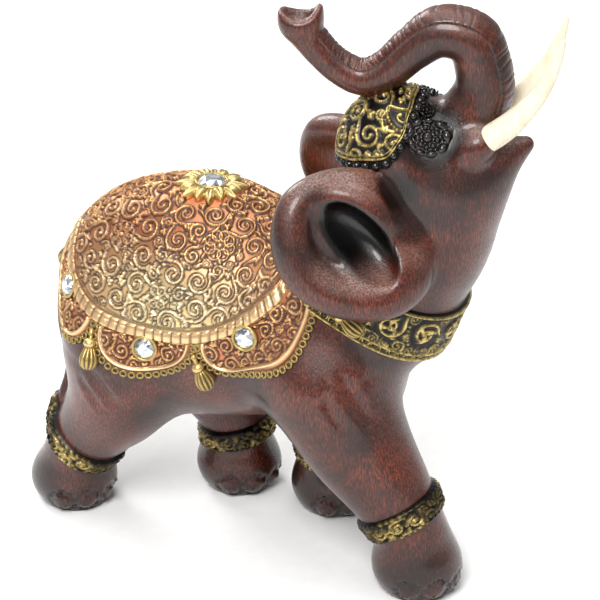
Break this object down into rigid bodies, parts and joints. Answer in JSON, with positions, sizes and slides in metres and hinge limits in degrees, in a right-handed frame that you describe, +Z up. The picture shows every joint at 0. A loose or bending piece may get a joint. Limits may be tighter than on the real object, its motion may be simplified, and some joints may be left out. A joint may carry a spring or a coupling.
{
  "type": "resin elephant statue",
  "caption": "Cast resin figurine of a walking elephant with raised trunk, ornamented saddle cloth, headdress, collar and anklets, ivory-coloured tusks and set rhinestones.",
  "frame": {"origin": "on the floor under the middle of the figure's bounding box", "axes": "+X the way the elephant walks, +Y its left side, +Z up"},
  "size_m": [0.1352, 0.0656, 0.1462],
  "materials": {
    "painted_resin": "cast polyresin painted mahogany brown, with gold, copper and black ornament",
    "tusk_resin": "smooth ivory-coloured cast resin",
    "rhinestone": "faceted clear glass with a silver foil back"
  },
  "bodies": {
    "root": {"elephant": "painted_resin", "tusk_right": "tusk_resin", "tusk_left": "tusk_resin", "rhinestone_back": "rhinestone", "rhinestone_right_front": "rhinestone", "rhinestone_right_middle": "rhinestone", "rhinestone_right_rear": "rhinestone", "rhinestone_left_front": "rhinestone", "rhinestone_left_middle": "rhinestone", "rhinestone_left_rear": "rhinestone"}
  },
  "joints": []
}
